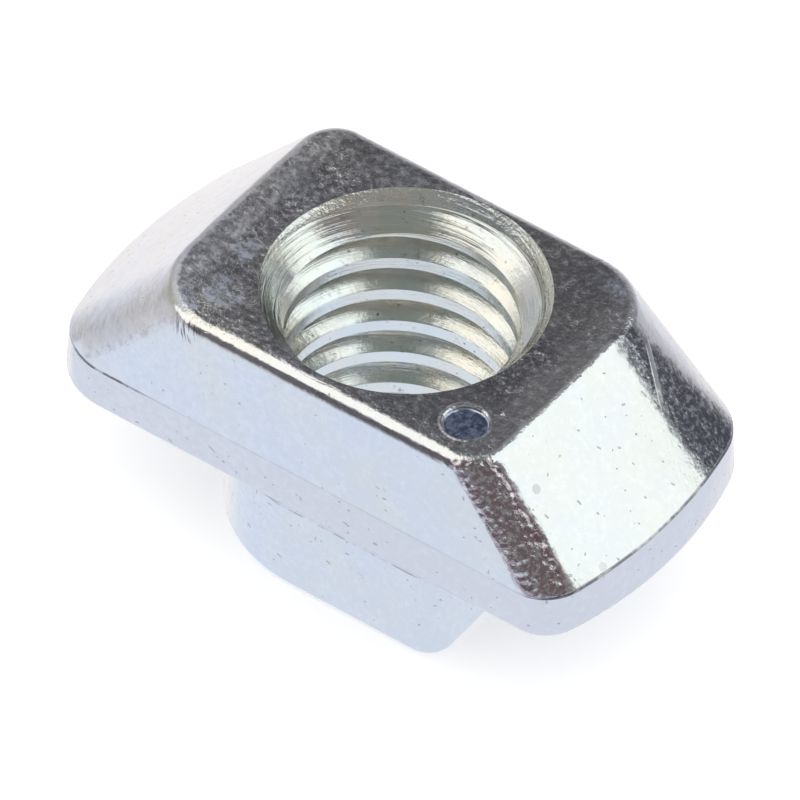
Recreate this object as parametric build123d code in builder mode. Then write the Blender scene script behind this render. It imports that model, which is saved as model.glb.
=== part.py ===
from build123d import *
import os
from math import radians, tan

# Quarter-turn T slot nut for a 10 mm slot with an M8 thread, cold forged in one piece.
# Frame: origin on the thread axis at the underside of the neck, +Z up through the head,
# +X along the head.

# Head
head_length = 19.2              # across the two ends, at the clamping shoulders
head_width = 9.9                # passes the slot's opening
total_height = 8.2
wall_height = 1.6               # upright band between the shoulders and the bevels
end_draft = 0.2                 # each end leans in by this much over the band
bevel_angle = 45                # of the two end bevels, from the horizontal
side_draft_angle = 4.5          # of the long sides above the band, from the vertical
shoulder_bulge = 1.0            # rise of the end arcs at the shoulders
foot_bulge = 0.8                # where the bevels start
top_bulge = 0.06                # and at the top face, where they are almost flat
top_edge_radius = 0.45
shoulder_edge_radius = 0.3

# Corner radii of the head at the shoulders, at the bevels' foot and at the top face.
# The turning pair leads when the nut is turned in the slot, the plain pair trails.
shoulder_turning_radius = 2.1
foot_turning_radius = 2.1
top_turning_radius = 2.6
shoulder_plain_radius = 1.35
foot_plain_radius = 1.45
top_plain_radius = 1.35

# Neck
neck_length = 9.7
neck_width = 9.7                # slides in the slot's opening
neck_height = 3.15
neck_turning_radius = 4.5
neck_plain_radius = 0.85
neck_edge_radius = 0.3
neck_root = 1.0                 # depth to which the neck's solid runs up inside the head

# Threaded hole: the core bore of an M8 thread, with a countersink at both mouths.
# The upper one is stepped: a chamfered lip, a short upright wall, then the cone.
core_diameter = 6.7
countersink_diameter = 8.2
countersink_angle = 90
lip_width = 0.22
lip_wall_height = 0.22

# Round inspection punch in the top face, beside a plain corner
mark_diameter = 1.3
mark_depth = 0.12
mark_inset = 1.5                # of its centre, from the top face's long and short edge

# Worked out from the sizes above
half_length = head_length / 2
half_width = head_width / 2
foot_height = neck_height + wall_height
bevel_rise = total_height - foot_height
foot_half_length = half_length - end_draft
top_half_length = foot_half_length - bevel_rise / tan(radians(bevel_angle))
top_half_width = half_width - bevel_rise * tan(radians(side_draft_angle))
core_radius = core_diameter / 2
countersink_radius = countersink_diameter / 2
cone_slope = 1 / tan(radians(countersink_angle / 2))
lip_radius = countersink_radius - lip_width
lip_base = total_height - lip_width * cone_slope - lip_wall_height
upper_cone_base = lip_base - (lip_radius - core_radius) * cone_slope
lower_cone_top = (countersink_radius - core_radius) * cone_slope

# Plan outlines of the head: height, half length, half width, end bulge, turning and plain radius
head_outlines = [
    (neck_height, half_length, half_width, shoulder_bulge,
     shoulder_turning_radius, shoulder_plain_radius),
    (foot_height, foot_half_length, half_width, foot_bulge,
     foot_turning_radius, foot_plain_radius),
    (total_height, top_half_length, top_half_width, top_bulge,
     top_turning_radius, top_plain_radius),
]


def round_corners(outline, turning_radius, plain_radius):
    """Round the -X-Y and +X+Y corners of an outline by one radius and the other two by another."""
    fillet(outline.vertices().filter_by(lambda corner: corner.X * corner.Y > 0), turning_radius)
    fillet(outline.vertices().filter_by(lambda corner: corner.X * corner.Y < 0), plain_radius)


with BuildPart() as nut:
    # Head: a ruled skin over the three outlines gives the band, the bevels and the leaning sides
    for height, length, width, bulge, turning_radius, plain_radius in head_outlines:
        with BuildSketch(Plane.XY.offset(height)) as outline:
            with BuildLine():
                corner_x = length - bulge
                Line((-corner_x, -width), (corner_x, -width))
                ThreePointArc((corner_x, -width), (length, 0), (corner_x, width))
                Line((corner_x, width), (-corner_x, width))
                ThreePointArc((-corner_x, width), (-length, 0), (-corner_x, -width))
            make_face()
            round_corners(outline, turning_radius, plain_radius)
    loft(ruled=True)
    fillet(nut.faces().sort_by(Axis.Z)[-1].edges(), top_edge_radius)
    fillet(nut.faces().sort_by(Axis.Z)[0].edges(), shoulder_edge_radius)

    # Neck: a square stem with the same handed corners, rounded at its lower edge
    with BuildSketch() as neck_outline:
        Rectangle(neck_length, neck_width)
        round_corners(neck_outline, neck_turning_radius, neck_plain_radius)
    extrude(amount=neck_height + neck_root)
    fillet(nut.faces().sort_by(Axis.Z)[0].edges(), neck_edge_radius)

    # Threaded hole, turned about the thread axis
    with BuildSketch(Plane.XZ):
        with BuildLine():
            Polyline(
                (0, 0),
                (countersink_radius, 0),
                (core_radius, lower_cone_top),
                (core_radius, upper_cone_base),
                (lip_radius, lip_base),
                (lip_radius, lip_base + lip_wall_height),
                (countersink_radius, total_height),
                (0, total_height),
                close=True,
            )
        make_face()
    revolve(axis=Axis.Z, mode=Mode.SUBTRACT)

    # Inspection punch
    with BuildSketch(Plane.XY.offset(total_height - mark_depth)):
        with Locations((top_half_length - mark_inset, mark_inset - top_half_width)):
            Circle(mark_diameter / 2)
    extrude(amount=mark_depth, mode=Mode.SUBTRACT)

nut.part.label = "t_slot_nut"
os.makedirs("parts", exist_ok=True)
export_step(nut.part, "parts/t_slot_nut.step")
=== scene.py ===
import math

import bpy
from mathutils import Matrix, Vector


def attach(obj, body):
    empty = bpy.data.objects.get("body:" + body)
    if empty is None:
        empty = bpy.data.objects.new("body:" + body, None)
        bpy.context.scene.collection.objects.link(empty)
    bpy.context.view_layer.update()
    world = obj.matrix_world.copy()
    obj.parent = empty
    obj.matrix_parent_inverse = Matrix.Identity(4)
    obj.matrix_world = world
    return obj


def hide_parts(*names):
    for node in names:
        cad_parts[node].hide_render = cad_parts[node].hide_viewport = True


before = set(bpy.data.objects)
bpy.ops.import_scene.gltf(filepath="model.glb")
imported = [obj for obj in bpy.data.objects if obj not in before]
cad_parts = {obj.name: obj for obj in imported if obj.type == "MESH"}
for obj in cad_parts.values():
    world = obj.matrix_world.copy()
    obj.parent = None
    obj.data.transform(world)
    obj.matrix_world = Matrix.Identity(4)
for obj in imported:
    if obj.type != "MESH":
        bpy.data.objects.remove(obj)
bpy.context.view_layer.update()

# Camera: a long lens looks down on the nut from its front right corner, so
# that the top face, the bore, one long side and one bevel are all seen.
view_azimuth = math.radians(34.45)
view_elevation = math.radians(44.82)
view_roll = math.radians(1.93)
view_distance = 0.390

towards_camera = Vector((
    math.sin(view_azimuth) * math.cos(view_elevation),
    -math.cos(view_azimuth) * math.cos(view_elevation),
    math.sin(view_elevation)))
level_right = Vector((math.cos(view_azimuth), math.sin(view_azimuth), 0))
level_up = towards_camera.cross(level_right)
view_right = level_right * math.cos(view_roll) + level_up * math.sin(view_roll)
view_up = level_up * math.cos(view_roll) - level_right * math.sin(view_roll)
nut_middle = Vector((0, 0, 0.0040))
aim = nut_middle + view_right * 0.0000042 - view_up * 0.0000945

bpy.ops.object.camera_add(location=aim + towards_camera * view_distance)
camera = bpy.context.object
camera.rotation_euler = Matrix((view_right, view_up, towards_camera)).transposed().to_euler()
camera.data.sensor_width = 36
camera.data.lens = 616.5
camera.data.clip_start = 0.01
bpy.context.scene.camera = camera

# T slot nut: one piece of steel, forged to a bevelled head on a square neck.
# It is then drilled, countersunk at both ends and tapped M8, and last of all
# it is tumbled and bright zinc plated.
core_radius = 0.003355
major_radius = 0.00395
pitch = 0.00125
head_top = 0.0082
bevel_height = 0.00345
tool_end = 0.0083       # the tools reach a little past the head's top
clearance = 0.000005
bore_steps = 192

bpy.ops.object.select_all(action="DESELECT")
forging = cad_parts["t_slot_nut"]
nut = forging.copy()
nut.data = forging.data.copy()
nut.name = "tapped_t_slot_nut"
nut.parent = None
for key in [key for key in nut.keys() if key.startswith("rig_")]:
    del nut[key]
bpy.context.collection.objects.link(nut)
bpy.context.view_layer.objects.active = nut
nut.select_set(True)
bpy.ops.mesh.customdata_custom_splitnormals_clear()
bpy.ops.object.mode_set(mode="EDIT")
bpy.ops.mesh.select_all(action="SELECT")
bpy.ops.mesh.remove_doubles(threshold=0.0000005)
bpy.ops.object.mode_set(mode="OBJECT")


def turned_tool(name, outline):
    """A solid of revolution about the thread's axis, from an outline of (radius, height) points."""
    bpy.ops.object.select_all(action="DESELECT")
    bpy.ops.mesh.primitive_circle_add(vertices=len(outline), radius=0.001)
    tool = bpy.context.object
    tool.name = name
    for vertex, (radius, height) in zip(tool.data.vertices, outline):
        vertex.co = (radius, 0, height)
    turning = tool.modifiers.new("turning", "SCREW")
    turning.steps = turning.render_steps = bore_steps
    turning.use_merge_vertices = True
    turning.merge_threshold = 0.000001
    bpy.ops.object.modifier_apply(modifier="turning")
    bpy.ops.object.mode_set(mode="EDIT")
    bpy.ops.mesh.select_all(action="SELECT")
    bpy.ops.mesh.remove_doubles(threshold=0.000001)
    bpy.ops.mesh.normals_make_consistent(inside=False)
    bpy.ops.object.mode_set(mode="OBJECT")
    return tool


def machine(work, tool, operation):
    """Takes the tool's shape out of the work, or keeps only what both share, and puts the tool away."""
    bpy.ops.object.select_all(action="DESELECT")
    bpy.context.view_layer.objects.active = work
    work.select_set(True)
    cut = work.modifiers.new("cut", "BOOLEAN")
    cut.operation = operation
    cut.solver = "EXACT"
    cut.object = tool
    bpy.ops.object.modifier_apply(modifier="cut")
    bpy.data.objects.remove(tool)


drill = turned_tool("drill", [
    (0, -0.0010), (0.0051 + clearance, -0.0010), (core_radius, 0.00075 - clearance),
    (core_radius, 0.00723), (0.00396, 0.007835), (0.00411, head_top), (0.00415, tool_end), (0, tool_end)])
machine(nut, drill, "DIFFERENCE")

# the countersink's mouth, broken by hand and so a little off the drill's axis
countersink = turned_tool("countersink", [
    (0, 0.00780), (0.00388, 0.00780), (0.00392, 0.00792), (0.00418, head_top),
    (0.00427, tool_end), (0, tool_end)])
countersink.data.transform(Matrix.Translation((0.00003, 0.00010, 0)))
machine(nut, countersink, "DIFFERENCE")

# the tap: a blunt tooth swept seven times round, up the helix of a right-hand thread
bpy.ops.object.select_all(action="DESELECT")
bpy.ops.mesh.primitive_circle_add(vertices=8, radius=0.001)
tap = bpy.context.object
tap.name = "tap"
turns = 7
tooth_start = math.radians(124.5)
last_crest = 0.00728
tooth_height = last_crest - pitch * (turns - 0.5)
for vertex, (radius, height) in zip(tap.data.vertices, [
        (0.0033, -0.00048), (0.00336, -0.000425), (0.00340, -0.000385), (major_radius, -0.00008),
        (major_radius, 0.00008), (0.00340, 0.000385), (0.00336, 0.000425), (0.0033, 0.00048)]):
    vertex.co = (radius * math.cos(tooth_start), radius * math.sin(tooth_start), tooth_height + height)
thread = tap.modifiers.new("thread", "SCREW")
thread.angle = math.radians(360)
thread.screw_offset = pitch
thread.iterations = turns
thread.steps = thread.render_steps = bore_steps
bpy.ops.object.modifier_apply(modifier="thread")
bpy.ops.object.mode_set(mode="EDIT")
bpy.ops.mesh.select_mode(type="EDGE")
bpy.ops.mesh.select_all(action="DESELECT")
bpy.ops.mesh.select_non_manifold()
bpy.ops.mesh.edge_face_add()
bpy.ops.mesh.select_all(action="SELECT")
bpy.ops.mesh.normals_make_consistent(inside=False)
bpy.ops.object.mode_set(mode="OBJECT")
tap_reach = turned_tool("tap_reach", [
    (0, -0.0012), (0.0041, -0.0012), (0.0041, 0.0071), (0.00386, 0.00774), (0, 0.00774)])
machine(tap, tap_reach, "INTERSECT")
machine(nut, tap, "DIFFERENCE")

# the setter's round punch mark, a shallow flat dimple with a steep wall and a rolled rim
mark_x, mark_y = 0.00445, -0.00318
punch = turned_tool("punch", [
    (0, 0.008078), (0.00064, 0.008078), (0.00065, 0.00816), (0.000705, head_top),
    (0.0008, 0.00828), (0, 0.00828)])
punch.data.transform(Matrix.Translation((mark_x, mark_y, 0)))
machine(nut, punch, "DIFFERENCE")

# the mark's floor is made one flat face
bpy.ops.object.select_all(action="DESELECT")
bpy.context.view_layer.objects.active = nut
nut.select_set(True)
bpy.ops.object.mode_set(mode="EDIT")
bpy.ops.mesh.select_mode(type="FACE")
bpy.ops.mesh.select_all(action="DESELECT")
bpy.ops.object.mode_set(mode="OBJECT")
for face in nut.data.polygons:
    face.select = (face.normal.z > 0.99 and 0.00805 < face.center.z < 0.0081
                   and math.hypot(face.center.x - mark_x, face.center.y - mark_y) < 0.00064)
bpy.ops.object.mode_set(mode="EDIT")
bpy.ops.mesh.dissolve_faces()
bpy.ops.object.mode_set(mode="OBJECT")
bpy.ops.object.shade_smooth_by_angle(angle=math.radians(28))

# blows in the tumbling drum hammer the head's rounded corners: hard on the
# front right one, in a strip that narrows downwards, and hardly at all on the
# front left one; the faces between the corners stay clean
blows = {("front", "right"): 1.0, ("front", "left"): 0.02, ("back", "right"): 0.20, ("back", "left"): 0.30}
hammered = nut.data.attributes.new("hammered", "FLOAT", "POINT")
for vertex, value in zip(nut.data.vertices, hammered.data):
    if abs(vertex.co.y) < 0.0039:
        continue
    low = min(1, max(0, (head_top - vertex.co.z) / bevel_height))
    outward = (0.52 - 0.06 * low, 0.67 + 0.045 * low, 0.53)
    facing = sum(abs(way) * part for way, part in zip(vertex.normal, outward))
    strip_edge = 0.82 + 0.02 * low
    reached = min(1, max(0, (facing - strip_edge) / 0.12))
    corner = ("front" if vertex.co.y < 0 else "back", "right" if vertex.co.x > 0 else "left")
    value.value = blows[corner] * reached


def linear(hex_colour):
    """A colour written as sRGB hex, as the shader needs it."""
    channels = [int(hex_colour[i:i + 2], 16) / 255 for i in (0, 2, 4)]
    return tuple(c / 12.92 if c <= 0.04045 else ((c + 0.055) / 1.055) ** 2.4 for c in channels) + (1,)


def add_node(tree, kind, links=None, **settings):
    """Adds a shader node, sets its properties, and fills its inputs with values or other nodes' outputs."""
    node = tree.nodes.new("ShaderNode" + kind)
    for name, value in settings.items():
        setattr(node, name, value)
    for socket, value in (links or {}).items():
        if isinstance(value, bpy.types.Node):
            value = next(output for output in value.outputs if output.enabled)
        if isinstance(value, bpy.types.NodeSocket):
            tree.links.new(value, node.inputs[socket])
        else:
            node.inputs[socket].default_value = value
    return node


# Bright zinc plate: a white metal with a faint blue and straw tint. It keeps
# the forging's orange peel, and tumbling has left it pitted and scratched, with
# a dull top. Patterns read object coordinates, turned to millimetres.
zinc = bpy.data.materials.new("bright_zinc_plated_steel")
zinc.use_nodes = True
tree = zinc.node_tree
shader = tree.nodes["Principled BSDF"]
shader.inputs["Metallic"].default_value = 1
place = add_node(tree, "VectorMath", {0: add_node(tree, "TexCoord").outputs["Object"], "Scale": 1000.0},
                 operation="SCALE")
axes = add_node(tree, "SeparateXYZ", {0: place})
height = axes.outputs["Z"]
parting_height = 4.75
root_height = 3.12

# the flat top, which rubbed on other nuts, and how far each place is hammered
top = add_node(tree, "MapRange", {"Value": height, "From Min": 8.06, "From Max": 8.19},
               interpolation_type="SMOOTHSTEP")
flat = add_node(tree, "MapRange", {"Value": height, "From Min": 8.185, "From Max": 8.198})
corner = add_node(tree, "Attribute", attribute_name="hammered").outputs["Fac"]
above_foot = add_node(tree, "MapRange", {"Value": height, "From Min": 4.72, "From Max": 4.80})
corner = add_node(tree, "Math", {0: corner, 1: above_foot}, operation="MULTIPLY")
struck = add_node(tree, "MapRange", {"Value": corner, "From Min": 0.20, "From Max": 0.90},
                  interpolation_type="SMOOTHSTEP")

# the back right corner is hammered on the bevel too, in a ragged strip whose
# outer edge leans, and one pale crease crosses it
wander = add_node(tree, "TexNoise", {"Vector": place, "Scale": 3.0, "Detail": 4.0, "Roughness": 0.7})
inner_edge = add_node(tree, "Math", {0: wander, 1: 0.9, 2: axes.outputs["Y"]}, operation="MULTIPLY_ADD")
strip = add_node(tree, "MapRange", {"Value": inner_edge, "From Min": 2.25, "From Max": 2.60},
                 interpolation_type="SMOOTHSTEP")
outer_edge = add_node(tree, "Math", {0: height, 1: 0.4, 2: inner_edge}, operation="MULTIPLY_ADD")
outer_edge = add_node(tree, "MapRange", {"Value": outer_edge, "From Min": 6.80, "From Max": 6.35},
                      interpolation_type="SMOOTHSTEP")
on_bevel = add_node(tree, "MapRange", {"Value": axes.outputs["X"], "From Min": 5.6, "From Max": 5.9})
for limit in (outer_edge, on_bevel, above_foot):
    strip = add_node(tree, "Math", {0: strip, 1: limit}, operation="MULTIPLY")
crease_normal, crease_offset = (0.294, 0.881, -0.370), 1.671
across = add_node(tree, "VectorMath", {0: place, 1: crease_normal}, operation="DOT_PRODUCT")
across = add_node(tree, "Math", {0: across.outputs["Value"], 1: crease_offset}, operation="SUBTRACT")
across = add_node(tree, "Math", {0: across}, operation="ABSOLUTE")
crease = add_node(tree, "MapRange", {"Value": across, "From Min": 0.12, "From Max": 0.06},
                  interpolation_type="SMOOTHSTEP")
for low, high in ((6.42, 6.62), (7.75, 7.55)):
    limit = add_node(tree, "MapRange", {"Value": height, "From Min": low, "From Max": high})
    crease = add_node(tree, "Math", {0: crease, 1: limit}, operation="MULTIPLY")
crease = add_node(tree, "Math", {0: crease, 1: on_bevel}, operation="MULTIPLY")
uncreased = add_node(tree, "Math", {0: 1.0, 1: crease}, operation="SUBTRACT")
strip = add_node(tree, "Math", {0: strip, 1: uncreased}, operation="MULTIPLY")

# relief, in millimetres: that corner is beaten down by 0.08 mm
beaten = add_node(tree, "MapRange", {"Value": axes.outputs["Y"], "From Min": 1.75, "From Max": 3.25},
                  interpolation_type="SMOOTHSTEP")
for axis, start, end in (("X", 5.3, 7.3), ("Z", 4.6, 5.6)):
    inner = add_node(tree, "MapRange", {"Value": axes.outputs[axis], "From Min": start, "From Max": end},
                     interpolation_type="SMOOTHSTEP")
    beaten = add_node(tree, "Math", {0: beaten, 1: inner}, operation="MULTIPLY")
relief = add_node(tree, "Math", {0: beaten, 1: -0.080}, operation="MULTIPLY")
relief = add_node(tree, "Math", {0: crease, 1: 0.005, 2: relief}, operation="MULTIPLY_ADD")

# long waves left by the die, orange peel and the grain of the plating
for scale, detail, depth in ((0.8, 2.0, 0.016), (2.6, 2.0, 0.011), (9.0, 3.0, 0.0030)):
    wave = add_node(tree, "TexNoise", {"Vector": place, "Scale": scale, "Detail": detail})
    relief = add_node(tree, "Math", {0: wave, 1: depth, 2: relief}, operation="MULTIPLY_ADD")

# lumps 0.3 and 0.1 mm across on the top's rubbed skin, and 0.12 mm on the
# hammered corners
chattered = add_node(tree, "Math", {0: strip, 1: 0.35, 2: struck}, operation="MULTIPLY_ADD", use_clamp=True)
for scale, detail, roughness, share, depth in (
        (3.4, 3.0, 0.6, top, 0.024), (9.5, 2.0, 0.6, top, 0.0100), (8.0, 3.0, 0.5, chattered, 0.032)):
    lump = add_node(tree, "TexNoise", {"Vector": place, "Scale": scale, "Detail": detail,
                                       "Roughness": roughness})
    lump = add_node(tree, "Math", {0: lump, 1: 0.5}, operation="SUBTRACT")
    lump = add_node(tree, "Math", {0: lump, 1: share}, operation="MULTIPLY")
    relief = add_node(tree, "Math", {0: lump, 1: depth, 2: relief}, operation="MULTIPLY_ADD")

# hammer dents 0.2 mm across
dent = add_node(tree, "TexVoronoi", {"Vector": place, "Scale": 5.0, "Smoothness": 0.5}, feature="SMOOTH_F1")
dent = add_node(tree, "Math", {0: dent, 1: 0.35}, operation="SUBTRACT")
dent = add_node(tree, "Math", {0: dent, 1: struck}, operation="MULTIPLY")
relief = add_node(tree, "Math", {0: dent, 1: 0.046, 2: relief}, operation="MULTIPLY_ADD")

# bruised patches, 1 to 3 mm across, where pits and scratches crowd together,
# and the top's four battered places: where, and radius
ragged = add_node(tree, "TexNoise", {"Vector": place, "Scale": 4.0, "Detail": 2.0}).outputs["Color"]
ragged = add_node(tree, "VectorMath", {0: ragged, 1: (0.5, 0.5, 0.2), 2: place}, operation="MULTIPLY_ADD")
battered = 0.0
for where, radius in (((4.75, 0.45, 8.3), 0.9), ((4.55, -0.95, 8.3), 1.0),
                      ((-3.95, 2.80, 8.3), 0.9), ((-4.30, 1.15, 8.3), 0.6)):
    away = add_node(tree, "VectorMath", {0: ragged, 1: where}, operation="DISTANCE")
    patch = add_node(tree, "MapRange", {"Value": away, "From Min": radius, "From Max": radius * 0.3},
                     interpolation_type="SMOOTHSTEP")
    battered = add_node(tree, "Math", {0: patch, 1: battered}, operation="MAXIMUM")
bruise = add_node(tree, "TexNoise", {"Vector": place, "Scale": 0.42, "Detail": 1.0})
bruise = add_node(tree, "MapRange", {"Value": bruise, "From Min": 0.46, "From Max": 0.62},
                  interpolation_type="SMOOTHSTEP")
foot = add_node(tree, "MapRange", {"Value": height, "From Min": 5.0, "From Max": 3.6, "To Max": 0.65})
bruise = add_node(tree, "Math", {0: bruise, 1: foot}, operation="ADD", use_clamp=True)

# pits: a small round dip in one cell of sixty, and in one of six where the
# steel is bruised
pit = add_node(tree, "TexVoronoi", {"Vector": place, "Scale": 2.1})
lot = add_node(tree, "SeparateColor", {0: pit.outputs["Color"]})
odds = add_node(tree, "MapRange", {"Value": bruise, "To Min": 0.985, "To Max": 0.82})
chosen = add_node(tree, "Math", {0: lot.outputs[0], 1: odds}, operation="GREATER_THAN")
size = add_node(tree, "Math", {0: lot.outputs[1], 1: 0.11, 2: 0.05}, operation="MULTIPLY_ADD")
dip = add_node(tree, "MapRange", {"Value": pit.outputs["Distance"], "From Min": size, "From Max": 0.0},
               interpolation_type="SMOOTHSTEP")
soil_and_shade = add_node(tree, "Math", {0: dip, 1: chosen}, operation="MULTIPLY")
relief = add_node(tree, "Math", {0: soil_and_shade, 1: -0.010, 2: relief}, operation="MULTIPLY_ADD")

# the larger dents of this nut: place, radius, depth and soil, in millimetres
for at, where, radius, depth, dirt in (
        (place, (6.96, -3.21, 7.09), 0.16, 0.006, 0.55), (place, (9.01, -2.79, 4.90), 0.15, 0.004, 0.35),
        (ragged, (4.77, 0.41, 8.30), 0.20, 0.045, 0.0), (ragged, (5.30, -2.13, 8.30), 0.12, 0.030, 0.0)):
    away = add_node(tree, "VectorMath", {0: at, 1: where}, operation="DISTANCE")
    dip = add_node(tree, "MapRange", {"Value": away, "From Min": radius, "From Max": radius * 0.4},
                   interpolation_type="SMOOTHSTEP")
    relief = add_node(tree, "Math", {0: dip, 1: -depth, 2: relief}, operation="MULTIPLY_ADD")
    disc = add_node(tree, "MapRange", {"Value": away, "From Min": radius, "From Max": radius * 0.85,
                                       "To Max": dirt})
    soil_and_shade = add_node(tree, "Math", {0: soil_and_shade, 1: disc}, operation="MAXIMUM")

# the burr that the punch raised round its mark
mark_at = (mark_x * 1000, mark_y * 1000)
burr_radius = 0.72
off_rim = add_node(tree, "VectorMath", {0: place, 1: (*mark_at, head_top * 1000)}, operation="DISTANCE")
off_rim = add_node(tree, "Math", {0: off_rim, 1: burr_radius}, operation="SUBTRACT")
off_rim = add_node(tree, "Math", {0: off_rim}, operation="ABSOLUTE")
burr = add_node(tree, "MapRange", {"Value": off_rim, "From Min": 0.08, "From Max": 0.0, "To Max": 0.024})
relief = add_node(tree, "Math", {0: relief, 1: burr}, operation="ADD")

# chips 0.1 mm across in the top's bruised patches
chip = add_node(tree, "TexNoise", {"Vector": place, "Scale": 6.5, "Detail": 2.0})
chip = add_node(tree, "MapRange", {"Value": chip, "From Min": 0.60, "From Max": 0.68, "To Max": 0.015},
                interpolation_type="SMOOTHSTEP")
crowd = add_node(tree, "Math", {0: bruise, 1: 0.45, 2: battered}, operation="MULTIPLY_ADD", use_clamp=True)
crowd = add_node(tree, "Math", {0: crowd, 1: top}, operation="MULTIPLY")
chip = add_node(tree, "Math", {0: chip, 1: crowd}, operation="MULTIPLY")
relief = add_node(tree, "Math", {0: relief, 1: chip}, operation="SUBTRACT")

# hairline scratches in five directions, drawn 0.04 mm wide so that they show
reach_down = add_node(tree, "Math", {0: bruise, 1: 0.35}, operation="MULTIPLY")
reach_down = add_node(tree, "Math", {0: reach_down, 1: crowd}, operation="MAXIMUM")
reach_down = add_node(tree, "MapRange", {"Value": reach_down, "To Min": 0.86, "To Max": 0.75})
scratched = 0.0
for turn, reach, seed in (((10, 25, 12), 3.2, 3.0), ((75, 10, 58), 2.0, 11.0), ((30, 70, 103), 2.6, 23.0),
                          ((0, 0, -32), 1.3, 31.0), ((0, 0, 24), 1.0, 47.0)):
    turned = add_node(tree, "Mapping", {"Vector": place, "Location": (seed, seed, seed),
                                        "Rotation": tuple(math.radians(angle) for angle in turn),
                                        "Scale": (reach, 0.13, 0.13)}, vector_type="TEXTURE")
    streak = add_node(tree, "TexNoise", {"Vector": turned, "Scale": 1.0, "Detail": 0.0})
    above = add_node(tree, "Math", {0: streak, 1: reach_down}, operation="SUBTRACT")
    line = add_node(tree, "MapRange", {"Value": above, "From Min": 0.0, "From Max": 0.05},
                    interpolation_type="SMOOTHSTEP")
    scratched = add_node(tree, "Math", {0: line, 1: scratched}, operation="MAXIMUM")
relief = add_node(tree, "Math", {0: scratched, 1: -0.007, 2: relief}, operation="MULTIPLY_ADD")
scratched = add_node(tree, "Math", {0: scratched, 1: 0.7}, operation="MULTIPLY")
soil_and_shade = add_node(tree, "Math", {0: soil_and_shade, 1: scratched}, operation="MAXIMUM")

# the die's parting line, a score round the foot of the bevels that is deep under the right bevel and at the
# left end, and nearly rubbed out between; the dark line along it is partly grime in the score and partly
# painted shade
off_line = add_node(tree, "Math", {0: height, 1: parting_height}, operation="SUBTRACT")
off_line = add_node(tree, "Math", {0: off_line}, operation="ABSOLUTE")
score = add_node(tree, "MapRange", {"Value": off_line, "From Min": 0.06, "From Max": 0.015},
                 interpolation_type="SMOOTHSTEP")
left_end = add_node(tree, "MapRange", {"Value": axes.outputs["X"], "From Min": -4.2, "From Max": -6.2})
right_end = add_node(tree, "MapRange", {"Value": axes.outputs["X"], "From Min": 7.6, "From Max": 8.4})
on_front = add_node(tree, "MapRange", {"Value": axes.outputs["Y"], "From Min": -4.2, "From Max": -4.6})
left_end = add_node(tree, "Math", {0: left_end, 1: on_front}, operation="MULTIPLY")
ends = add_node(tree, "Math", {0: left_end, 1: right_end}, operation="ADD")
worn = add_node(tree, "TexNoise", {"Vector": place, "Scale": 1.7, "Detail": 2.0})
worn = add_node(tree, "MapRange", {"Value": worn, "From Min": 0.40, "From Max": 0.56})
ends = add_node(tree, "Math", {0: ends, 1: 0.85, 2: 0.16}, operation="MULTIPLY_ADD")
kept = add_node(tree, "Math", {0: worn, 1: 0.5, 2: 0.5}, operation="MULTIPLY_ADD")
score = add_node(tree, "Math", {0: score, 1: ends}, operation="MULTIPLY")
score = add_node(tree, "Math", {0: score, 1: kept}, operation="MULTIPLY")
relief = add_node(tree, "Math", {0: score, 1: -0.016, 2: relief}, operation="MULTIPLY_ADD")

# painted shade in the root between head and neck, broken up by the same noise as the score's wear
off_root = add_node(tree, "Math", {0: height, 1: root_height}, operation="SUBTRACT")
off_root = add_node(tree, "Math", {0: off_root}, operation="ABSOLUTE")
root = add_node(tree, "MapRange", {"Value": off_root, "From Min": 0.06, "From Max": 0.01})
root = add_node(tree, "Math", {0: root, 1: worn}, operation="MULTIPLY")
soil_and_shade = add_node(tree, "Math", {0: soil_and_shade, 1: root}, operation="MAXIMUM")

# fine dark streaks that hang from the top's front left corner
hair = add_node(tree, "Mapping", {"Vector": place, "Rotation": (0, math.radians(-20), 0),
                                  "Scale": (0.075, 0.4, 0.55)}, vector_type="TEXTURE")
hair = add_node(tree, "TexNoise", {"Vector": hair, "Scale": 1.0, "Detail": 1.0})
hair = add_node(tree, "MapRange", {"Value": hair, "From Min": 0.50, "From Max": 0.58})
streak_root = (-3.98, -4.27, 8.02)
away = add_node(tree, "VectorMath", {0: ragged, 1: streak_root}, operation="DISTANCE")
streaks = add_node(tree, "MapRange", {"Value": away, "From Min": 0.62, "From Max": 0.30},
                   interpolation_type="SMOOTHSTEP")
untopped = add_node(tree, "MapRange", {"Value": height, "From Min": 8.12, "From Max": 8.04, "To Max": 0.8})
streaks = add_node(tree, "Math", {0: streaks, 1: untopped}, operation="MULTIPLY")
streaks = add_node(tree, "Math", {0: streaks, 1: hair}, operation="MULTIPLY")

# soil along the front left corner's ridge, which leans at 0.95 to 1 and would
# meet the height 0 at x = -12.15
ridge_lean, ridge_foot = 0.95, 12.15
ridge = add_node(tree, "Math", {0: height, 1: -ridge_lean, 2: axes.outputs["X"]}, operation="MULTIPLY_ADD")
ridge = add_node(tree, "Math", {0: ridge, 1: ridge_foot}, operation="ADD")
ridge = add_node(tree, "Math", {0: ridge}, operation="ABSOLUTE")
ridge = add_node(tree, "MapRange", {"Value": ridge, "From Min": 0.22, "From Max": 0.05},
                 interpolation_type="SMOOTHSTEP")
patchy = add_node(tree, "TexNoise", {"Vector": place, "Scale": 5.0, "Detail": 3.0})
patchy = add_node(tree, "MapRange", {"Value": patchy, "From Min": 0.44, "From Max": 0.62, "To Max": 0.55})
for limit in (patchy, above_foot, on_front):
    ridge = add_node(tree, "Math", {0: ridge, 1: limit}, operation="MULTIPLY")
soil_and_shade = add_node(tree, "Math", {0: soil_and_shade, 1: ridge}, operation="MAXIMUM")

bump = add_node(tree, "Bump", {"Height": relief, "Strength": 1.0, "Distance": 0.001})
tree.links.new(bump.outputs["Normal"], shader.inputs["Normal"])
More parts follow.
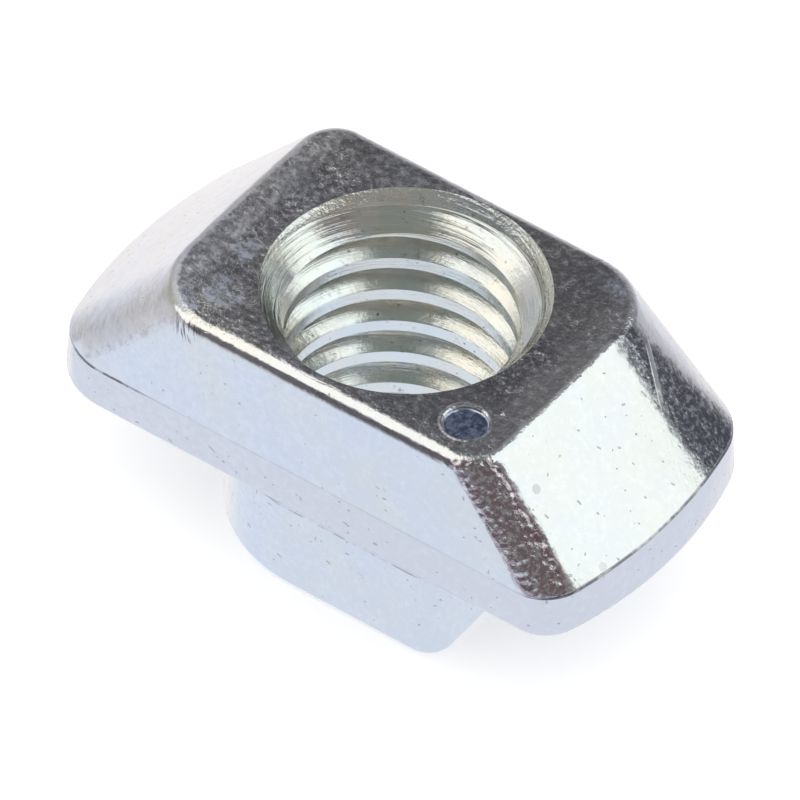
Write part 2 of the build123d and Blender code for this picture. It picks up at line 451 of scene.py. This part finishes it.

# colour: the plating drifts from blue to straw, is more violet on the band below the parting line, holds a
# blue film in the mark, and dulls where soiled; painted shade darkens the root between head and neck and,
# with grime, the parting line's score
drift = add_node(tree, "TexNoise", {"Vector": place, "Scale": 0.45, "Detail": 3.0})
drift = add_node(tree, "MapRange", {"Value": drift, "From Min": 0.35, "From Max": 0.65})
tint = add_node(tree, "Mix", {0: drift, 6: linear("e7e9ee"), 7: linear("ebeae7")}, data_type="RGBA")
under = add_node(tree, "MapRange", {"Value": height, "From Min": 4.78, "From Max": 4.68})
over = add_node(tree, "MapRange", {"Value": height, "From Min": 3.10, "From Max": 3.16})
band = add_node(tree, "Math", {0: under, 1: over}, operation="MULTIPLY")
tint = add_node(tree, "Mix", {0: band, 6: tint, 7: linear("e8e5e5")}, data_type="RGBA")
from_mark = add_node(tree, "VectorMath", {0: place, 1: (*mark_at, 8.0)}, operation="DISTANCE")
film = add_node(tree, "MapRange", {"Value": from_mark, "From Min": 0.63, "From Max": 0.60})
speckle = add_node(tree, "TexNoise", {"Vector": place, "Scale": 6.0, "Detail": 3.0})
speckle = add_node(tree, "MapRange", {"Value": speckle, "From Min": 0.40, "From Max": 0.60})
blue = add_node(tree, "Mix", {0: speckle, 6: linear("7080a2"), 7: linear("b8c8e6")}, data_type="RGBA")
tint = add_node(tree, "Mix", {0: film, 6: tint, 7: blue}, data_type="RGBA")

# four frosted places on the top have a bluish bloom: where, and radius
frosted = 0.0
for where, radius in (((-4.26, -1.10, 8.3), 0.55), ((-3.80, -2.85, 8.3), 0.80),
                      ((-4.60, -3.80, 8.3), 0.70), ((5.10, 4.10, 8.3), 0.70)):
    away = add_node(tree, "VectorMath", {0: ragged, 1: where}, operation="DISTANCE")
    patch = add_node(tree, "MapRange", {"Value": away, "From Min": radius, "From Max": radius * 0.5},
                     interpolation_type="SMOOTHSTEP")
    frosted = add_node(tree, "Math", {0: patch, 1: frosted}, operation="MAXIMUM")
frost = add_node(tree, "TexNoise", {"Vector": place, "Scale": 2.2, "Detail": 8.0, "Roughness": 0.85})
frost = add_node(tree, "MapRange", {"Value": frost, "From Min": 0.42, "From Max": 0.58},
                 interpolation_type="SMOOTHSTEP")
for limit in (frosted, flat):
    frost = add_node(tree, "Math", {0: frost, 1: limit}, operation="MULTIPLY")
tint = add_node(tree, "Mix", {0: frost, 6: tint, 7: linear("c6cfe2")}, data_type="RGBA")

# the rubbed top is mottled dark and light, 0.25 and 1 mm across: darkest at its
# right end, and smoother in the frosted places; on the sides it barely shows
rightward = add_node(tree, "Math", {0: axes.outputs["Y"], 1: -0.25, 2: axes.outputs["X"]},
                     operation="MULTIPLY_ADD")
rightward = add_node(tree, "MapRange", {"Value": rightward, "From Min": -4.5, "From Max": 4.5,
                                        "To Min": -0.01, "To Max": 0.07})
sheltered = add_node(tree, "MapRange", {"Value": axes.outputs["X"], "From Min": 4.75, "From Max": 5.10,
                                        "To Min": 1.0, "To Max": 0.72})
bared = add_node(tree, "Math", {0: battered, 1: 0.20, 2: 0.80}, operation="MULTIPLY_ADD")
sheltered = add_node(tree, "Math", {0: sheltered, 1: bared}, operation="MULTIPLY")
bared = add_node(tree, "MapRange", {"Value": frosted, "To Min": 1.0, "To Max": 0.65})
sheltered = add_node(tree, "Math", {0: sheltered, 1: bared}, operation="MULTIPLY")
for scale, detail, low, high, darkest, faint in ((4.4, 6.0, 0.59, 0.42, 0.86, 0.08),
                                                 (1.1, 2.0, 0.62, 0.42, 0.48, 0.05)):
    mottle = add_node(tree, "TexNoise", {"Vector": place, "Scale": scale, "Detail": detail,
                                         "Roughness": 0.75})
    mottle = add_node(tree, "Math", {0: mottle, 1: rightward}, operation="SUBTRACT")
    mottle = add_node(tree, "MapRange", {"Value": mottle, "From Min": low, "From Max": high,
                                         "To Max": darkest})
    share = add_node(tree, "MapRange", {"Value": flat, "To Min": faint, "To Max": sheltered})
    mottle = add_node(tree, "Math", {0: mottle, 1: share}, operation="MULTIPLY")
    tint = add_node(tree, "Mix", {0: mottle, 6: tint, 7: linear("7c7c7f")}, data_type="RGBA")

# the hammered corners are dark, brown on the front one and violet on the back
# one, with bright flecks where the blows missed
fleck = add_node(tree, "TexNoise", {"Vector": place, "Scale": 5.6, "Detail": 4.0, "Roughness": 0.65})
fleck = add_node(tree, "MapRange", {"Value": fleck, "From Min": 0.62, "From Max": 0.48})
darkened = add_node(tree, "MapRange", {"Value": corner, "From Min": 0.15, "From Max": 0.45})
for worked, bare, strength, shade in ((darkened, 0.85, 0.86, "a8929a"), (strip, 0.62, 0.88, "5f5f69")):
    shown = add_node(tree, "Math", {0: fleck, 1: bare, 2: 1 - bare}, operation="MULTIPLY_ADD")
    worked = add_node(tree, "Math", {0: worked, 1: shown}, operation="MULTIPLY")
    worked = add_node(tree, "Math", {0: worked, 1: strength}, operation="MULTIPLY")
    tint = add_node(tree, "Mix", {0: worked, 6: tint, 7: linear(shade)}, data_type="RGBA")
tint = add_node(tree, "Mix", {0: streaks, 6: tint, 7: linear("5c5c66")}, data_type="RGBA")
# the score is darkened: partly grime held in it, partly painted shade along the foot of the bevels
grime_and_shade = add_node(tree, "Math", {0: score, 1: 0.9}, operation="MULTIPLY")
tint = add_node(tree, "Mix", {0: grime_and_shade, 6: tint, 7: linear("6a6a70")}, data_type="RGBA")
# dark grey mixed in where there is dirt in pits, dents, scratches and along the ridge, and as painted shade
# in the root between head and neck
soil_and_shade_mix = add_node(tree, "Math", {0: soil_and_shade, 1: 0.55}, operation="MULTIPLY")
tint = add_node(tree, "Mix", {0: soil_and_shade_mix, 6: tint, 7: linear("7c7c84")}, data_type="RGBA")
tree.links.new(tint.outputs[2], shader.inputs["Base Color"])

# gloss: cloudy all over, and duller in the frosted places and along the top's
# left edge
cloud = add_node(tree, "TexNoise", {"Vector": place, "Scale": 1.6, "Detail": 3.0})
cloud = add_node(tree, "MapRange", {"Value": cloud, "From Min": 0.3, "From Max": 0.7,
                                    "To Min": 0.09, "To Max": 0.18})
soft_edge = add_node(tree, "MapRange", {"Value": axes.outputs["X"], "From Min": -4.8, "From Max": -5.1,
                                        "To Max": 0.16})
soft_edge = add_node(tree, "Math", {0: soft_edge, 1: top}, operation="MULTIPLY")
cloud = add_node(tree, "Math", {0: cloud, 1: soft_edge}, operation="ADD")
gloss = add_node(tree, "Math", {0: frost, 1: 0.42, 2: cloud}, operation="MULTIPLY_ADD")
tree.links.new(gloss.outputs[0], shader.inputs["Roughness"])

# The bore's plate lies on cut metal, so it shows fine rings from the drill and
# the tap, and small brown stains where the plating bath dried in it.
bore_zinc = bpy.data.materials.new("bright_zinc_plated_turned_steel")
bore_zinc.use_nodes = True
tree = bore_zinc.node_tree
shader = tree.nodes["Principled BSDF"]
shader.inputs["Metallic"].default_value = 1
place = add_node(tree, "VectorMath", {0: add_node(tree, "TexCoord").outputs["Object"], "Scale": 1000.0},
                 operation="SCALE")
axes = add_node(tree, "SeparateXYZ", {0: place})
across = add_node(tree, "CombineXYZ", {"X": axes.outputs["X"], "Y": axes.outputs["Y"]})
radius = add_node(tree, "VectorMath", {0: across}, operation="LENGTH")
rings = add_node(tree, "CombineXYZ", {"X": radius, "Y": axes.outputs["Z"]})
rings = add_node(tree, "VectorMath", {0: place, 1: (0.07, 0.07, 0.07), 2: rings}, operation="MULTIPLY_ADD")

# relief, in millimetres
relief = 0.0
for where, scale, detail, roughness, depth in (
        (place, 3.0, 2.0, 0.5, 0.007),      # unevenness of the plating
        (place, 9.0, 3.0, 0.6, 0.0045),     # its grain
        (rings, 9.0, 3.5, 0.75, 0.0130)):   # tool marks, every 0.1 mm and finer
    wave = add_node(tree, "TexNoise", {"Vector": where, "Scale": scale, "Detail": detail,
                                       "Roughness": roughness})
    relief = add_node(tree, "Math", {0: wave, 1: depth, 2: relief}, operation="MULTIPLY_ADD")
sunk = add_node(tree, "MapRange", {"Value": axes.outputs["Z"], "From Min": 7.15, "From Max": 7.35})
mouth = add_node(tree, "MapRange", {"Value": axes.outputs["Z"], "From Min": 7.90, "From Max": 7.96})
for where, scale, detail, share, depth in (
        (rings, 6.5, 1.5, sunk, 0.030),     # deeper grooves above the thread
        (rings, 11.0, 2.0, mouth, 0.016),   # the mouth, which was broken by hand
        (place, 8.0, 3.0, mouth, 0.036)):   # and its torn grain
    cut = add_node(tree, "TexNoise", {"Vector": where, "Scale": scale, "Detail": detail})
    cut = add_node(tree, "Math", {0: cut, 1: 0.5}, operation="SUBTRACT")
    cut = add_node(tree, "Math", {0: cut, 1: share}, operation="MULTIPLY")
    relief = add_node(tree, "Math", {0: cut, 1: depth, 2: relief}, operation="MULTIPLY_ADD")
bump = add_node(tree, "Bump", {"Height": relief, "Strength": 1.0, "Distance": 0.001})
tree.links.new(bump.outputs["Normal"], shader.inputs["Normal"])

# colour: straw more than blue, with brown stains in clouds and in round spots
drift = add_node(tree, "TexNoise", {"Vector": place, "Scale": 0.6, "Detail": 3.0})
drift = add_node(tree, "MapRange", {"Value": drift, "From Min": 0.35, "From Max": 0.65})
tint = add_node(tree, "Mix", {0: drift, 6: linear("e4e8e8"), 7: linear("ece8de")}, data_type="RGBA")
stain = add_node(tree, "TexNoise", {"Vector": place, "Scale": 2.6, "Detail": 5.0, "Roughness": 0.7})
stain = add_node(tree, "MapRange", {"Value": stain, "From Min": 0.60, "From Max": 0.70, "To Max": 0.45})
tint = add_node(tree, "Mix", {0: stain, 6: tint, 7: linear("8a8274")}, data_type="RGBA")
fleck = add_node(tree, "TexVoronoi", {"Vector": place, "Scale": 3.2})
lot = add_node(tree, "SeparateColor", {0: fleck.outputs["Color"]})
chosen = add_node(tree, "Math", {0: lot.outputs[0], 1: 0.62}, operation="GREATER_THAN")
size = add_node(tree, "Math", {0: lot.outputs[1], 1: 0.18, 2: 0.06}, operation="MULTIPLY_ADD")
spot = add_node(tree, "MapRange", {"Value": fleck.outputs["Distance"], "From Min": size, "From Max": 0.0,
                                   "To Max": 0.8})
spot = add_node(tree, "Math", {0: spot, 1: chosen}, operation="MULTIPLY")
tint = add_node(tree, "Mix", {0: spot, 6: tint, 7: linear("67675c")}, data_type="RGBA")
tree.links.new(tint.outputs[2], shader.inputs["Base Color"])

# gloss: duller than the forged skin, and most of all in the mouth
cloud = add_node(tree, "TexNoise", {"Vector": place, "Scale": 1.6, "Detail": 3.0})
gloss = add_node(tree, "MapRange", {"Value": cloud, "From Min": 0.3, "From Max": 0.7,
                                    "To Min": 0.13, "To Max": 0.25})
gloss = add_node(tree, "Math", {0: mouth, 1: 0.06, 2: gloss}, operation="MULTIPLY_ADD")
tree.links.new(gloss.outputs[0], shader.inputs["Roughness"])

# every face of the hole is turned, and the rest is forged
nut.data.materials.clear()
nut.data.materials.append(zinc)
nut.data.materials.append(bore_zinc)
for face in nut.data.polygons:
    inside = math.hypot(face.center.x, face.center.y) < 0.0044
    face.material_index = int(inside and 0.00001 < face.center.z < 0.00819)
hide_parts("t_slot_nut")
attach(nut, "root")

# Floor: a plain sheet of white paper. It is bright enough to run out into the
# white background, and keeps a faint shadow under the neck.
bpy.ops.object.select_all(action="DESELECT")
bpy.ops.mesh.primitive_plane_add(size=3, location=(0, 0, 0))
floor = bpy.context.object
floor.name = "floor"
floor.visible_glossy = False
paper = bpy.data.materials.new("white_paper")
paper.use_nodes = True
tree = paper.node_tree
matt = tree.nodes["Principled BSDF"]
matt.inputs["Base Color"].default_value = linear("f3f3f3")
matt.inputs["Roughness"].default_value = 0.9
matt.inputs["Specular IOR Level"].default_value = 0.0
seen = add_node(tree, "LightPath").outputs["Is Camera Ray"]
glow = add_node(tree, "Math", {0: seen, 1: 0.38}, operation="MULTIPLY")
glow = add_node(tree, "Emission", {"Color": (1, 1, 1, 1), "Strength": glow})
lit_paper = add_node(tree, "AddShader", {0: matt, 1: glow})
tree.links.new(lit_paper.outputs[0], tree.nodes["Material Output"].inputs["Surface"])
floor.data.materials.append(paper)

# Studio: white paper below, a large soft light on each side, and the dark room
# in front of the nut and high behind it. Each light or dark card is a direction
# (azimuth, elevation), the angles within which it is full and gone, and a colour.
studio = bpy.data.worlds.new("studio")
bpy.context.scene.world = studio
studio.use_nodes = True
tree = studio.node_tree
direction = add_node(tree, "TexCoord").outputs["Generated"]
level = add_node(tree, "SeparateXYZ", {0: direction}).outputs["Z"]
dusk = add_node(tree, "MapRange", {"Value": level, "From Min": -0.35, "From Max": 0.66})
sky = add_node(tree, "Mix", {0: dusk, 6: (0.84, 0.83, 0.88, 1), 7: (0.125, 0.125, 0.13, 1)},
               data_type="RGBA")
paper_below = (0.81, 0.89, 1.02, 1)
halves = []
for under, cards in (
        (sky, [
            (8, 0, 46, 62, (0.27, 0.265, 0.26)),
            (-40, -14, 14, 24, (0.18, 0.165, 0.175)),
            (155, 58, 14, 24, (0.30, 0.30, 0.32)),
            (0, 72, 27, 42, (0.20, 0.23, 0.22)),
            (-100, 50, 32, 42, (1.25, 1.24, 1.16)),
            (-150, 38, 11, 20, (0.60, 0.61, 0.68)),
            (-132, 34, 14, 24, (0.60, 0.61, 0.66)),
            (-57, 20, 16, 27, (0.15, 0.15, 0.165)),
            (-124, 13, 11, 19, (0.44, 0.44, 0.40)),
            (92, 40, 27, 32, (1.17, 1.26, 1.24)),
            (90, 10, 12, 18, (1.17, 1.24, 1.22)),
            (55.5, 20, 12.5, 15.5, (0.20, 0.17, 0.18)),
            (120, 16, 12, 15.5, (0.28, 0.29, 0.32))]),
        (paper_below, [
            (180, -25, 15, 55, (1.00, 0.98, 1.00))])):
    for azimuth, elevation, full, gone, shade in cards:
        turn, rise = view_azimuth + math.radians(azimuth), math.radians(elevation)
        middle = (math.sin(turn) * math.cos(rise), -math.cos(turn) * math.cos(rise), math.sin(rise))
        near = add_node(tree, "VectorMath", {0: direction, 1: middle}, operation="DOT_PRODUCT")
        rim, core = math.cos(math.radians(gone)), math.cos(math.radians(full))
        card = add_node(tree, "MapRange", {"Value": near, "From Min": rim, "From Max": core},
                        interpolation_type="SMOOTHSTEP")
        under = add_node(tree, "Mix", {0: card, 6: under, 7: shade + (1,)}, data_type="RGBA")
    halves.append(under)
below = add_node(tree, "MapRange", {"Value": level, "From Min": -0.04, "From Max": -0.34},
                 interpolation_type="SMOOTHSTEP")
room = add_node(tree, "Mix", {0: below, 6: halves[0], 7: halves[1]}, data_type="RGBA")
mirrored = add_node(tree, "LightPath").outputs["Is Glossy Ray"]
seen_room = add_node(tree, "Mix", {0: mirrored, 6: (1, 1, 1, 1), 7: room}, data_type="RGBA")
tree.links.new(seen_room.outputs[2], tree.nodes["Background"].inputs["Color"])
tree.nodes["Background"].inputs["Strength"].default_value = 1.0

bpy.context.scene.view_settings.view_transform = "Standard"
